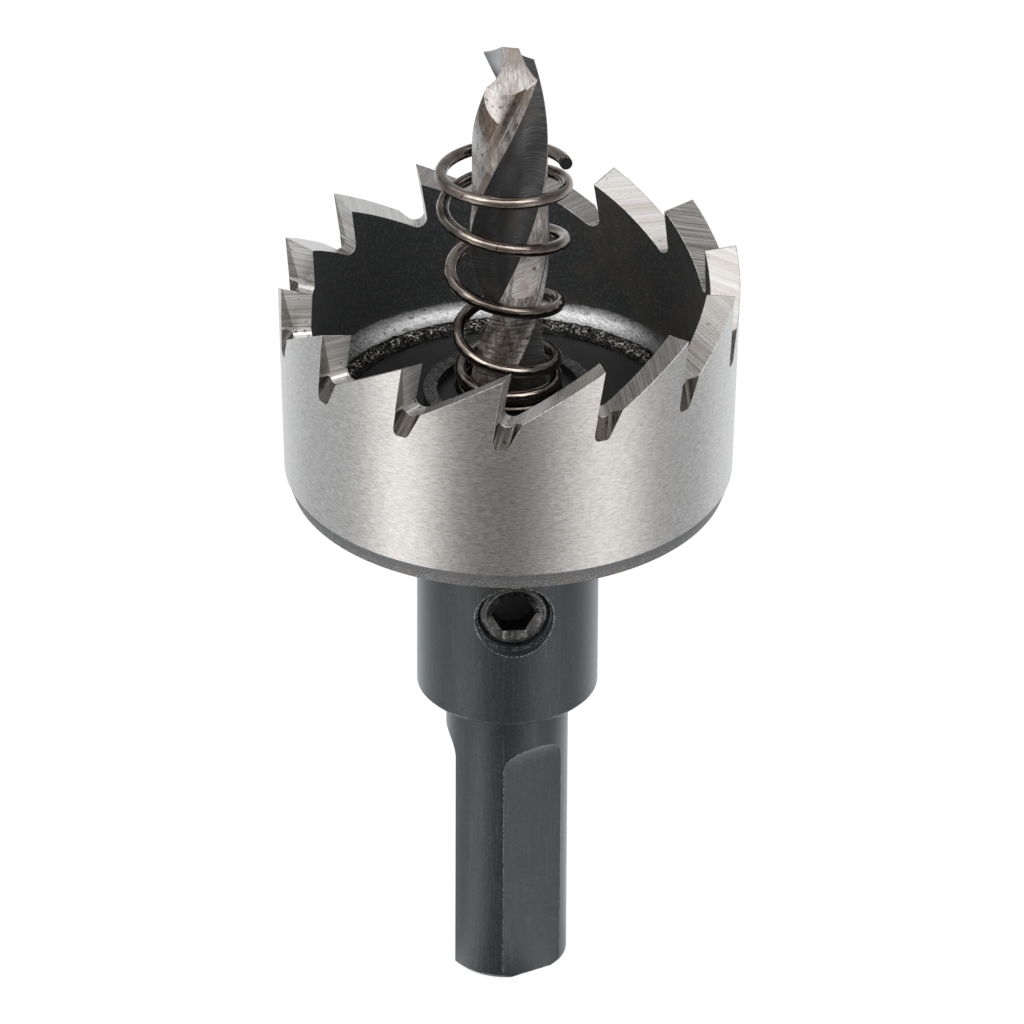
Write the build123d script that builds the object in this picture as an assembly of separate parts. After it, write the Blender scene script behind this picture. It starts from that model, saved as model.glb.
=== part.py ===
from build123d import *
from math import cos, pi, radians, sin, sqrt, tan
import os

# A small hole saw in millimetres. The origin is the centre of the shank's end
# face, +Z runs up the axis to the tip of the pilot drill, and the set screw
# faces -Y. Turns are in degrees, from -Y towards +X.

# Shank with three flats
shank_diameter = 10.0
shank_length = 26.0
shank_end_chamfer = 0.4
flat_count = 3
flat_depth = 0.8
flat_length = 20.2
flat_runout_radius = 3.0
flat_turn = 25.2

# Hub
hub_diameter = 14.8
hub_length = 19.5
hub_chamfer = 0.45

# Front of the arbor, inside the cup
spigot_length = 5.7
spigot_edge_chamfer = 0.3
collar_height = 2.6
collar_wall = 1.1
recess_depth = 0.8
recess_clearance = 1.405

# Cup, turned from one piece, with a thick bottom around the spigot
cutter_diameter = 37.3
side_taper = 0.47
cup_wall = 2.45
cup_length = 19.5
floor_rise = 0.35
cup_corner_radius = 1.7
bottom_lip = 2.1
edge_band_height = 0.75
edge_band_slope = 20.0
braze_gap = 0.03

# Teeth
tooth_count = 14
first_tooth_turn = -6.2
rake_angle = 9.0
land_angle = 31.8
gullet_turn = -16.4
gullet_dip = 5.0
gullet_radius = 0.7

# Relief ground into the outer half of each gullet
relief_depth = 4.4
relief_inset = 1.05
relief_width = 1.3
relief_slope = 65.0
relief_face_turn = 18.8
relief_side_turn = 22.0
relief_rake = 8.75
relief_rake_radius = 0.55
relief_side_radius = 0.28
cutter_rise = 3.0

# Bead of braze between the cup and the spigot
bead_width = 0.95
bead_crown = 0.35
bead_overlap = 0.3
bead_clearance = 0.01

# Pilot drill
drill_diameter = 6.35
drill_length = 57.2
drill_tip_above_teeth = 20.0
drill_bore_clearance = 0.03
drill_end_chamfer = 0.3
bore_end_angle = 118.0
flute_length = 37.0
flute_helix_angle = 24.25
flute_sections = 15
flute_turn = 13.7
web_thickness = 1.2
land_span = 76.0
margin_span = 14.0
land_relief = 0.14
point_slope = 41.0
point_turn = -15.0

# Conical ejector spring, closed at both ends
spring_wire = 1.03
spring_drill_clearance = 0.19
spring_flare = 1.17
spring_closed_pitch = 1.2
spring_active_pitch = 5.92
spring_top_turns = 1.08
spring_active_turns = 2.86
spring_bottom_turns = 2.09
spring_turns_eased = 0.3
spring_end_turn = 92.0
spring_lean = 0.5
spring_tilt = 0.5
spring_seat_clearance = 0.03
spring_wire_sides = 8
points_per_turn = 12

# Set screw with a hexagon socket
screw_diameter = 6.0
screw_thread_clearance = 0.05
screw_length = 3.175
screw_from_hub_foot = 10.0
screw_tip_clearance = 0.02
screw_tip_chamfer = 0.5
screw_mouth_clearance = 0.23
socket_across_flats = 3.2
socket_depth = 1.7

shank_radius = shank_diameter / 2
hub_radius = hub_diameter / 2
hub_top = shank_length + hub_length
tip_radius = cutter_diameter / 2
base_radius = tip_radius - side_taper
bore_radius = tip_radius - cup_wall
spigot_radius = bore_radius - bottom_lip
drill_radius = drill_diameter / 2
spring_bottom_radius = drill_radius + spring_drill_clearance + spring_wire / 2
recess_radius = spring_bottom_radius + spring_wire / 2 + recess_clearance
collar_radius = recess_radius + collar_wall
floor_height = hub_top + spigot_length
collar_top = floor_height + collar_height
recess_floor = collar_top - recess_depth
tip_height = hub_top + cup_length
inside_floor = floor_height + floor_rise
cup_hole_radius = spigot_radius + braze_gap
groove_radius = cup_hole_radius + bead_width
drill_bore_radius = drill_radius + drill_bore_clearance
drill_tip = tip_height + drill_tip_above_teeth
drill_base = drill_tip - drill_length
flute_base = drill_tip - flute_length
screw_height = shank_length + screw_from_hub_foot
screw_tip = drill_radius + screw_tip_clearance
tooth_pitch = 360 / tooth_count
spring_turns = spring_top_turns + spring_active_turns + spring_bottom_turns


def revolved(outline):
    return revolve(Plane.XZ * make_face(outline), axis=Axis.Z)


def upright(shape, height):
    return Pos(0, 0, height) * shape


def rim_height():
    # Where the braze groove meets the rounded corner inside the cup.
    over = groove_radius - (bore_radius - cup_corner_radius)
    return inside_floor + cup_corner_radius - sqrt(cup_corner_radius ** 2 - over ** 2)


def cup_blank():
    band_inset = edge_band_height * tan(radians(edge_band_slope))
    corner_top = (bore_radius, inside_floor + cup_corner_radius)
    corner_foot = (groove_radius, rim_height())
    corner = RadiusArc(corner_top, corner_foot, cup_corner_radius)
    rest = Polyline(
        corner_foot,
        (cup_hole_radius, rim_height() - bead_width),
        (cup_hole_radius, hub_top),
        (base_radius - 2 * band_inset, hub_top),
        (base_radius - band_inset, hub_top + edge_band_height),
        (base_radius, hub_top + 2 * edge_band_height),
        (tip_radius, tip_height),
        (bore_radius, tip_height),
        corner_top,
    )
    return revolved(corner + rest)


def gullet_cutter():
    # A wedge for the tooth at -Y. One side is its rake face, the other is the
    # sloping back of the next tooth, so the depth follows from the pitch.
    turn = radians(gullet_turn)
    dip = radians(gullet_dip)
    pitch = radians(tooth_pitch)
    outward = Vector(sin(turn) * cos(dip), -cos(turn) * cos(dip), -sin(dip))
    across = Vector(cos(turn), sin(turn), 0)
    tip = Vector(0, -tip_radius, tip_height)
    next_tip = Vector(tip_radius * sin(pitch), -tip_radius * cos(pitch), tip_height)
    plane = Plane(origin=tip, x_dir=across, z_dir=outward)
    reach = plane.to_local_coords(next_tip)
    lean = tan(radians(rake_angle))
    slope = tan(radians(land_angle))
    depth = (reach.X * slope - reach.Y) / (1 - lean * slope)
    root = (-lean * depth, -depth)
    outline = Polyline(
        root,
        (reach.X + cutter_rise, reach.Y + cutter_rise * slope),
        (reach.X + cutter_rise, 2 * cutter_rise),
        (lean * 2 * cutter_rise, 2 * cutter_rise),
        close=True,
    )
    face = make_face(outline)
    corner = face.vertices().sort_by_distance(root)[0]
    face = plane * fillet(corner, gullet_radius)
    wall = tip_radius - bore_radius
    return extrude(face, wall) + extrude(face, -3 * wall)


def relief_cutter():
    # A groove in the same gullet that runs steeply down and out. It shaves the
    # outer half of the rake face and leaves the notch below the gullet.
    inner = tip_radius - relief_inset
    outer = tip_radius + relief_depth
    face_lean = tan(radians(relief_face_turn))
    side_lean = tan(radians(relief_side_turn))
    rake = tan(radians(relief_rake))
    start = -rake * relief_depth
    rake_corner = (start + face_lean * relief_inset, -inner)
    side_corner = (rake_corner[0] + relief_width, -inner)
    outline = Polyline(
        rake_corner,
        side_corner,
        (side_corner[0] + side_lean * (outer - inner), -outer),
        (start - face_lean * (outer - tip_radius), -outer),
        close=True,
    )
    face = make_face(outline)
    corner = face.vertices().sort_by_distance(side_corner)[0]
    face = fillet(corner, relief_side_radius)
    corner = face.vertices().sort_by_distance(rake_corner)[0]
    face = upright(fillet(corner, relief_rake_radius), tip_height - relief_depth)
    inward = 1 / tan(radians(relief_slope))
    uphill = Vector(rake + face_lean * inward, inward, 1)
    upper = extrude(face, (relief_depth + cutter_rise) * uphill.length, dir=uphill)
    lower = extrude(face, relief_depth * uphill.length, dir=uphill * -1)
    return upper + lower


def saw_cup():
    gullet = gullet_cutter()
    relief = relief_cutter()
    cup = cup_blank()
    for index in range(tooth_count):
        turned = Rot(0, 0, first_tooth_turn + index * tooth_pitch)
        cup -= turned * gullet
        cup -= turned * relief
    return cup


def braze_bead():
    inner = spigot_radius - spigot_edge_chamfer
    rim = (groove_radius - bead_clearance, rim_height())
    foot = (cup_hole_radius - bead_clearance, rim_height() - bead_width)
    side = spigot_radius + bead_clearance
    bed = floor_height + bead_clearance
    toe = (inner - bead_overlap, bed)
    crown = ((toe[0] + rim[0]) / 2, (toe[1] + rim[1]) / 2 + bead_crown)
    top = ThreePointArc(toe, crown, rim)
    under = Polyline(rim, foot, (side, foot[1]), (side, bed - spigot_edge_chamfer), (inner, bed), toe)
    return revolved(top + under)


def shank_flat():
    # Cut on the -Y side from the end of the shank, round at the top.
    flat_from_axis = shank_radius - flat_depth
    runout = sqrt(flat_runout_radius ** 2 - (flat_runout_radius - flat_depth) ** 2)
    foot = (-flat_from_axis, flat_length)
    top = (-shank_radius, flat_length + runout)
    curve = RadiusArc(foot, top, -flat_runout_radius)
    edges = Polyline(
        top,
        (-2 * shank_radius, top[1]),
        (-2 * shank_radius, -1),
        (-flat_from_axis, -1),
        foot,
    )
    return extrude(Plane.YZ * make_face(curve + edges), shank_radius, both=True)


def facing_screw(shape):
    return upright(Rot(90, 0, 0) * shape, screw_height)


def arbor():
    outline = Polyline(
        (0, 0),
        (shank_radius - shank_end_chamfer, 0),
        (shank_radius, shank_end_chamfer),
        (shank_radius, shank_length),
        (hub_radius - hub_chamfer, shank_length),
        (hub_radius, shank_length + hub_chamfer),
        (hub_radius, hub_top),
        (spigot_radius, hub_top),
        (spigot_radius, floor_height - spigot_edge_chamfer),
        (spigot_radius - spigot_edge_chamfer, floor_height),
        (collar_radius, floor_height),
        (collar_radius, collar_top),
        (recess_radius, collar_top),
        (recess_radius, recess_floor),
        (drill_bore_radius, recess_floor),
        (drill_bore_radius, drill_base),
        (0, drill_base - drill_bore_radius / tan(radians(bore_end_angle / 2))),
        close=True,
    )
    body = revolved(outline)
    for index in range(flat_count):
        body -= Rot(0, 0, flat_turn + index * 360 / flat_count) * shank_flat()
    low = (Align.CENTER, Align.CENTER, Align.MIN)
    thread = Cylinder(screw_diameter / 2, hub_diameter, align=low)
    mouth = Cylinder(screw_diameter / 2 + screw_mouth_clearance, hub_diameter, align=low)
    body -= facing_screw(thread)
    body -= facing_screw(upright(mouth, screw_tip + screw_length))
    return body


def flute_section(height):
    # Two lands with raised margins at the cutting edge, and two round flutes.
    half = land_span / 2
    relieved = drill_radius - land_relief
    lead = pi * drill_diameter / tan(radians(flute_helix_angle))

    def at(radius, angle):
        return (radius * cos(radians(angle)), radius * sin(radians(angle)))

    edges = []
    for start in (0, 180):
        lip = at(drill_radius, start + half)
        margin_end = at(drill_radius, start + half - margin_span)
        land_start = at(relieved, start + half - margin_span)
        heel = at(relieved, start - half)
        on_margin = at(drill_radius, start + half - margin_span / 2)
        on_land = at(relieved, start - margin_span / 2)
        flute_middle = at(web_thickness / 2, start - 90)
        next_lip = at(drill_radius, start - 180 + half)
        edges.append(ThreePointArc(lip, on_margin, margin_end))
        edges.append(Line(margin_end, land_start))
        edges.append(ThreePointArc(land_start, on_land, heel))
        edges.append(ThreePointArc(heel, flute_middle, next_lip))
    turn = flute_turn - 90 + 360 * (height - drill_tip) / lead
    return upright(Rot(0, 0, turn) * make_face(edges), height)


def pilot_drill():
    step = flute_length / (flute_sections - 1)
    sections = [flute_section(flute_base + index * step) for index in range(flute_sections)]
    fluted = loft(sections)
    drop = 2 * drill_diameter * tan(radians(point_slope))
    roof = Polyline(
        (0, drill_tip),
        (2 * drill_diameter, drill_tip - drop),
        (2 * drill_diameter, flute_base),
        (-2 * drill_diameter, flute_base),
        (-2 * drill_diameter, drill_tip - drop),
        close=True,
    )
    point = extrude(Plane.YZ * make_face(roof), 2 * drill_diameter, both=True)
    fluted &= Rot(0, 0, point_turn) * point
    shank = revolved(Polyline(
        (0, drill_base),
        (drill_radius - drill_end_chamfer, drill_base),
        (drill_radius, drill_base + drill_end_chamfer),
        (drill_radius, flute_base),
        (0, flute_base),
        close=True,
    ))
    return shank + fluted


def open_turns(turns):
    # How many of the first turns are open ones, eased where the pitch changes.
    def eased(past):
        return (past + sqrt(past ** 2 + spring_turns_eased ** 2)) / 2

    past_top = turns - spring_top_turns
    return eased(past_top) - eased(past_top - spring_active_turns)


def spring_fall(turns):
    extra_pitch = spring_active_pitch - spring_closed_pitch
    return spring_closed_pitch * turns + extra_pitch * open_turns(turns)


def spring_point(turns):
    # The wire's centre, counted in turns from its top end. The upper coils are
    # wider, lean a little to one side and are tilted up at the front.
    seat = recess_floor + spring_wire / 2 + spring_seat_clearance
    rise = spring_fall(spring_turns) - spring_fall(turns)
    share = 1 - open_turns(turns) / spring_active_turns
    blend = share * share * (3 - 2 * share)
    radius = spring_bottom_radius + spring_flare * blend
    lean = spring_lean * rise / spring_fall(spring_turns)
    angle = radians(spring_end_turn + 360 * turns)
    tilt = spring_tilt * blend * cos(angle)
    return (radius * sin(angle) - lean, -radius * cos(angle), seat + rise + tilt)


def ejector_spring():
    count = round(spring_turns * points_per_turn)
    path = Spline([spring_point(spring_turns * index / count) for index in range(count + 1)])
    start = Plane(origin=path @ 0, z_dir=path % 0)
    # The round wire has a few flat sides, midway between the inside and the
    # outside of the circle, which keeps the long coil light.
    half_side = pi / spring_wire_sides
    radius = spring_wire / (1 + cos(half_side))
    return sweep(start * RegularPolygon(radius, spring_wire_sides), path=path, is_frenet=True)


def set_screw():
    radius = screw_diameter / 2 - screw_thread_clearance
    outer_end = screw_tip + screw_length
    body = revolve(Plane.XZ * make_face(Polyline(
        (0, screw_tip),
        (radius - screw_tip_chamfer, screw_tip),
        (radius, screw_tip + screw_tip_chamfer),
        (radius, outer_end - screw_tip_chamfer / 2),
        (radius - screw_tip_chamfer / 2, outer_end),
        (0, outer_end),
        close=True,
    )), axis=Axis.Z)
    hexagon = RegularPolygon(socket_across_flats / 2, 6, major_radius=False)
    body -= upright(extrude(hexagon, socket_depth), outer_end - socket_depth)
    return facing_screw(body)


os.makedirs("parts", exist_ok=True)
nodes = {
    "saw_cup": saw_cup(),
    "braze_bead": braze_bead(),
    "arbor": arbor(),
    "pilot_drill": pilot_drill(),
    "ejector_spring": ejector_spring(),
    "set_screw": set_screw(),
}
for name, shape in nodes.items():
    shape.label = name
    export_step(shape, f"parts/{name}.step")
    print(name, round(shape.volume, 1), len(shape.solids()))
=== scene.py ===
import bmesh
import bpy
import math
from mathutils import Matrix, Vector, noise


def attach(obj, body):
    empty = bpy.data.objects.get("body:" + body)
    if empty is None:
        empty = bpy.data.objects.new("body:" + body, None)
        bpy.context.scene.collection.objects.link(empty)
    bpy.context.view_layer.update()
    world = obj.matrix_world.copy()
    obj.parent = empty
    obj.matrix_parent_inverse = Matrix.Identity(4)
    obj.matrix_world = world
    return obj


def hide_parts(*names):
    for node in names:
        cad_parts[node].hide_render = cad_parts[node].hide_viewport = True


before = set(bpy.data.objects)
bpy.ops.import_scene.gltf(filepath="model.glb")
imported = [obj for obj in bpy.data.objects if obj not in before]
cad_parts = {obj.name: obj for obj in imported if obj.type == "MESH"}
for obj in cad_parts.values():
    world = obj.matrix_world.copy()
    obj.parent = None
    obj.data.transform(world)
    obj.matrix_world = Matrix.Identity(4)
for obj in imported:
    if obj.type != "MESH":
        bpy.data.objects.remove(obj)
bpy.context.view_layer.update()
mm = 0.001
photoTurn = -4.8    # degrees that the camera stands off from straight in front


def addNode(tree, kind, **settings):
    made = tree.nodes.new("ShaderNode" + kind)
    for name, value in settings.items():
        setattr(made, name, value)
    return made


def treeOf(*sources):
    # the tree that holds the sockets among the sources
    return next(source.id_data for source in sources if isinstance(source, bpy.types.NodeSocket))


def feed(source, node, socket):
    # source is a socket or a plain value
    target = node.inputs[socket]
    if isinstance(source, bpy.types.NodeSocket):
        node.id_data.links.new(source, target)
    else:
        target.default_value = source


def nodeFor(sources, kind, **settings):
    # a node whose inputs are the sources, in order
    made = addNode(treeOf(*sources), kind, **settings)
    for index, source in enumerate(sources):
        feed(source, made, index)
    return made


def mathOf(operation, first, second=0, *third, clamp=False):
    return nodeFor((first, second, *third), "Math", operation=operation, use_clamp=clamp).outputs[0]


def minus(first, second):
    return mathOf("SUBTRACT", first, second)


def product(*factors):
    result = factors[0]
    for factor in factors[1:]:
        result = mathOf("MULTIPLY", result, factor)
    return result


def vectorOf(operation, first, second):
    made = nodeFor((first, second), "VectorMath", operation=operation)
    return made.outputs["Value" if operation == "DOT_PRODUCT" else 0]


def mix(amount, first, second, blend="MIX"):
    made = addNode(treeOf(amount, first, second), "Mix", data_type="RGBA", blend_type=blend)
    for source, socket in ((amount, 0), (first, 6), (second, 7)):
        feed(source, made, socket)
    return made.outputs[2]


def remap(value, low, high, outLow=0, outHigh=1, smooth=True):
    kind = "SMOOTHSTEP" if smooth else "LINEAR"
    sources = (value, low, high, outLow, outHigh)
    return nodeFor(sources, "MapRange", clamp=True, interpolation_type=kind).outputs[0]


def between(value, low, high, soft):
    # 1 from low to high, with soft ends
    rise = remap(value, low - soft, low + soft)
    return mathOf("MULTIPLY", rise, remap(value, high - soft, high + soft, 1, 0))


def noiseOf(vector, scale, detail=3, roughness=0.6):
    made = addNode(treeOf(vector), "TexNoise")
    settings = {"Vector": vector, "Scale": scale, "Detail": detail, "Roughness": roughness}
    for name, source in settings.items():
        feed(source, made, name)
    return made.outputs["Fac"]


def scaled(vector, amounts):
    return vectorOf("MULTIPLY", vector, amounts)


def combined(x, y, z):
    return nodeFor((x, y, z), "CombineXYZ").outputs[0]


def evenly(value):
    return combined(value, value, value)


def placeParts(tree, *names):
    # what is asked for of place, which is Object coordinates, their x, y and z, and
    # reach, which is the distance from the axis
    place = addNode(tree, "TexCoord").outputs["Object"]
    x, y, z = nodeFor((place,), "SeparateXYZ").outputs
    reach = mathOf("SQRT", mathOf("ADD", product(x, x), product(y, y)))
    parts = {"place": place, "x": x, "y": y, "z": z, "reach": reach}
    return [parts[name] for name in names]


def newGroup(name, inputs, outputs):
    # the tree, the sockets given to it, and the node that takes its results
    tree = bpy.data.node_groups.new(name, "ShaderNodeTree")
    for way, sockets in (("INPUT", inputs), ("OUTPUT", outputs)):
        for label, kind in sockets.items():
            tree.interface.new_socket(label, in_out=way, socket_type="NodeSocket" + kind)
    given = tree.nodes.new("NodeGroupInput")
    return tree, given.outputs, tree.nodes.new("NodeGroupOutput")


def useGroup(tree, group, **values):
    made = addNode(tree, "Group", node_tree=group)
    for name, value in values.items():
        feed(value, made, name)
    return made.outputs


def skyward(azimuth, elevation):
    # the direction at these degrees, azimuth from straight in front to the right
    turn, rise = math.radians(azimuth), math.radians(elevation)
    return Vector((math.sin(turn) * math.cos(rise), -math.cos(turn) * math.cos(rise), math.sin(rise)))


teeth = {
    # the same sizes as in the CAD source: degrees and millimetres
    "first": -6.2, "count": 14, "tipRadius": 18.65, "wall": 2.45, "tipHeight": 65,
    "rakeLean": math.tan(math.radians(9)), "gulletTurn": -16.4, "gulletDip": 5, "behind": 0.4,
    "reliefUphill": Vector((0.3126, 0.4663, 1)).normalized(),
}
teeth["pitch"] = 360 / teeth["count"]
teeth["grindWay"] = skyward(teeth["gulletTurn"], -teeth["gulletDip"])
# how far the rake edge turns from the outside of the wall to its inside
teeth["skew"] = math.degrees(math.atan2(
    -math.tan(math.radians(teeth["gulletTurn"])) * teeth["wall"], teeth["tipRadius"] - teeth["wall"]))


def toothTurn(place):
    # The turn of the tooth whose rake face and gullet hold this place
    reach = math.hypot(place.x, place.y)
    azimuth = math.degrees(math.atan2(place.x, -place.y))
    edge = teeth["skew"] * (teeth["tipRadius"] - reach) / teeth["wall"]
    edge -= math.degrees(teeth["rakeLean"] * (teeth["tipHeight"] - place.z) / teeth["tipRadius"])
    edge += teeth["first"] - teeth["behind"]
    return teeth["first"] + teeth["pitch"] * math.floor((azimuth - edge) / teeth["pitch"])


def makeTurningLines():
    # Fine lines left by turning or brushing round the axis. The noise follows
    # the direction from the axis, so it has no seam.
    tree, given, result = newGroup(
        "turningLines",
        {"Along": "Float", "Across": "Float"}, {"Fine": "Float", "Broad": "Float"})
    x, y, z, reach = placeParts(tree, "x", "y", "z", "reach")
    across = given["Across"]
    along = mathOf("DIVIDE", given["Along"], reach)
    radial = product(reach, across, 0.9)
    vector = combined(mathOf("ADD", product(x, along), radial), product(y, along), product(z, across))
    feed(noiseOf(vector, 1, 4, 0.7), result, "Fine")
    feed(noiseOf(scaled(vector, (0.22, 0.22, 0.1)), 1, 2), result, "Broad")
    return tree


def makeGrindLines():
    # Straight grinding marks on the teeth. Each gullet was ground in one pass,
    # so the marks run the way that the grinding wheel went.
    tree, given, result = newGroup(
        "grindLines",
        {"Way": "Vector", "Fineness": "Float", "Length": "Float"},
        {"Fine": "Float", "Broad": "Float", "ToothShade": "Float"})
    place, x, y, z, reach = placeParts(tree, "place", "x", "y", "z", "reach")
    azimuth = mathOf("ARCTAN2", x, mathOf("MULTIPLY", y, -1))
    perReach = -math.radians(teeth["skew"]) / (teeth["wall"] * mm)
    perHeight = teeth["rakeLean"] / (teeth["tipRadius"] * mm)
    edge = mathOf("ADD", product(reach, perReach), product(z, perHeight))
    fixed = -teeth["tipRadius"] * mm * perReach - teeth["tipHeight"] * mm * perHeight
    fixed += math.radians(teeth["first"] - teeth["behind"])
    passed = minus(azimuth, mathOf("ADD", edge, fixed))
    tooth = mathOf("FLOOR", mathOf("DIVIDE", passed, math.radians(teeth["pitch"])))
    turned = mathOf("MULTIPLY_ADD", tooth, -math.radians(teeth["pitch"]), -math.radians(teeth["first"]))
    local = addNode(tree, "VectorRotate", rotation_type="Z_AXIS")
    feed(place, local, "Vector")
    feed(turned, local, "Angle")
    way = given["Way"]
    lengthways = scaled(way, evenly(vectorOf("DOT_PRODUCT", local.outputs[0], way)))
    aside = vectorOf("SUBTRACT", local.outputs[0], lengthways)
    fine = scaled(aside, evenly(given["Fineness"]))
    fine = vectorOf("ADD", fine, scaled(lengthways, evenly(given["Length"])))
    shift = product(tooth, 7.3)    # no two teeth alike
    fine = vectorOf("ADD", fine, evenly(shift))
    feed(noiseOf(fine, 1, 4, 0.75), result, "Fine")
    feed(noiseOf(scaled(fine, (0.15, 0.15, 0.15)), 1, 2), result, "Broad")
    # a value for each tooth, used for painted shade that darkens some teeth more than others
    feed(noiseOf(combined(shift, 0, 0), 1, 0), result, "ToothShade")
    return tree


def makeSpeckle():
    # Dark pits and light grains of a rough or oxidised skin
    tree, given, result = newGroup(
        "speckle",
        {"Size": "Float", "Amount": "Float"},
        {"Pits": "Float", "Grain": "Float", "Cloud": "Float", "Specks": "Float"})
    place = addNode(tree, "TexCoord").outputs["Object"]
    size = given["Size"]
    grain = noiseOf(place, size, 2, 0.7)
    pits = noiseOf(scaled(place, (1, 1, 0.8)), product(size, 0.55), 1)
    specks = noiseOf(vectorOf("ADD", place, (0.3, 0.1, 0.2)), product(size, 0.8), 1)
    edge = minus(0.75, product(given["Amount"], 0.35))
    feed(remap(pits, edge, mathOf("ADD", edge, 0.06)), result, "Pits")
    feed(grain, result, "Grain")
    feed(noiseOf(place, product(size, 0.06), 2), result, "Cloud")
    feed(remap(specks, edge, mathOf("ADD", edge, 0.05)), result, "Specks")
    return tree


def makeEdgeWear():
    # Where the surface bends sharply the finish is rubbed through
    tree, given, result = newGroup(
        "edgeWear",
        {"Width": "Float", "Breakup": "Float"}, {"Mask": "Float", "Stain": "Float", "Normal": "Vector"})
    rounded = addNode(tree, "Bevel", samples=6)
    feed(given["Width"], rounded, "Radius")
    straight = addNode(tree, "NewGeometry").outputs["Normal"]
    dot = vectorOf("DOT_PRODUCT", rounded.outputs[0], straight)
    bend = remap(dot, 0.995, 0.93)
    place = addNode(tree, "TexCoord").outputs["Object"]
    patchy = noiseOf(place, 700, 3)
    worn = remap(patchy, 0.35, 0.65)
    held = minus(1, mathOf("MULTIPLY", given["Breakup"], worn))
    feed(mathOf("MULTIPLY", bend, held, clamp=True), result, "Mask")
    feed(mathOf("MULTIPLY", bend, remap(patchy, 0.5, 0.62)), result, "Stain")
    feed(rounded.outputs[0], result, "Normal")
    return tree


turningLines = makeTurningLines()
grindLines = makeGrindLines()
speckle = makeSpeckle()
edgeWear = makeEdgeWear()
print("shared effects made")


def startMaterial(name, specks=None, wear=None, **constants):
    # The material, its tree and what the shared effects give: specks of this size
    # and amount, edge wear of this width and breakup.
    made = bpy.data.materials.new(name)
    made.use_nodes = True
    tree = made.node_tree
    for socket, value in constants.items():
        tree.nodes["Principled BSDF"].inputs[socket.replace("_", " ")].default_value = value
    effects = []
    if specks:
        effects.append(useGroup(tree, speckle, Size=specks[0], Amount=specks[1]))
    if wear:
        effects.append(useGroup(tree, edgeWear, Width=wear[0], Breakup=wear[1]))
    return made, tree, *effects


def bumpOf(height, strength, distance, normal=None):
    made = addNode(treeOf(height), "Bump")
    feed(strength, made, "Strength")
    feed(distance, made, "Distance")
    feed(height, made, "Height")
    if normal is not None:
        feed(normal, made, "Normal")
    return made.outputs[0]


def dress(made, colour, rough, normal, **others):
    sources = {"Base Color": colour, "Roughness": rough, "Normal": normal, **others}
    for socket, source in sources.items():
        feed(source, made.node_tree.nodes["Principled BSDF"], socket)
    return made


def layered(colour, layers):
    # each layer has its mask and its tint, and may say how it is blended
    for mask, tint, *blend in layers:
        colour = mix(mask, colour, tint, *blend)
    return colour


def grey(value, warm=0):
    # a grey, a little warmer or cooler
    return (value * (1 + warm), value, value * (1 - warm), 1)


sideFinish = {
    "pale": grey(0.8, 0.01), "dim": grey(0.56, 0.04), "cool": grey(0.62, -0.03),
    "along": 34, "across": 9000, "rough": 0.3, "anisotropic": 0.6,
}


def makeCupSide():
    # brushed round the cup, which stretches reflections up and down it
    made, tree, specks, wear = startMaterial(
        "cupSide", specks=(6500, 0.1), wear=(0.00008, 0.6),
        Metallic=1, Anisotropic=sideFinish["anisotropic"], Anisotropic_Rotation=0.25)
    lines = useGroup(tree, turningLines, Along=sideFinish["along"], Across=sideFinish["across"])
    fine = lines["Fine"]
    colour = mix(remap(fine, 0.36, 0.62), sideFinish["dim"], sideFinish["pale"])
    colour = layered(colour, (
        (remap(lines["Broad"], 0.45, 0.7, 0, 0.15), sideFinish["cool"]),
        (remap(specks["Grain"], 0.5, 0.8, 0, 0.35), grey(0.45, 0.06)),
        (product(specks["Pits"], 0.2), grey(0.3, 0.08)),
        (wear["Mask"], grey(0.8, 0.02))))
    rough = sideFinish["rough"]
    tangent = addNode(tree, "Tangent", direction_type="RADIAL", axis="Z").outputs[0]
    return dress(
        made, colour, remap(fine, 0.2, 0.8, rough - 0.07, rough + 0.07),
        bumpOf(fine, 0.3, 0.00004, wear["Normal"]), Tangent=tangent)


def makeCupEdge():
    # two narrow dark bands round the foot of the cup, with a thin bright seam above that is a painted highlight
    made, tree, specks = startMaterial("cupEdge", specks=(6500, 0.5), Metallic=0.75)
    place, z = placeParts(tree, "place", "z")
    lower = mix(remap(specks["Grain"], 0.32, 0.72), grey(0.13, 0.02), grey(0.4, 0.01))
    upper = mix(remap(specks["Grain"], 0.4, 0.75), grey(0.17, -0.03), grey(0.34, -0.02))
    ragged = mathOf("MULTIPLY_ADD", noiseOf(place, 900, 3), 0.00016, z)
    colour = mix(remap(ragged, 0.04628, 0.04638), lower, upper)
    # painted highlight along the corner above the bands
    seam = product(between(ragged, 0.04706, 0.0471, 0.00002), specks["Cloud"], 1.2)
    colour = mix(seam, colour, grey(0.75))
    return dress(
        made, colour, remap(specks["Grain"], 0.3, 0.7, 0.42, 0.6),
        bumpOf(specks["Grain"], 0.5, 0.00005))


rakeBevelShade = {
    # a second grind takes off the outer part of each rake face, from nothing at the tip to the inset of
    # the relief at the gullet, and painted shade darkens that facet: place, slope and the shade's tint
    "outside": 0.01855, "slope": 0.24, "tint": (0.5, 0.47, 0.44, 1),
}


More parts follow.
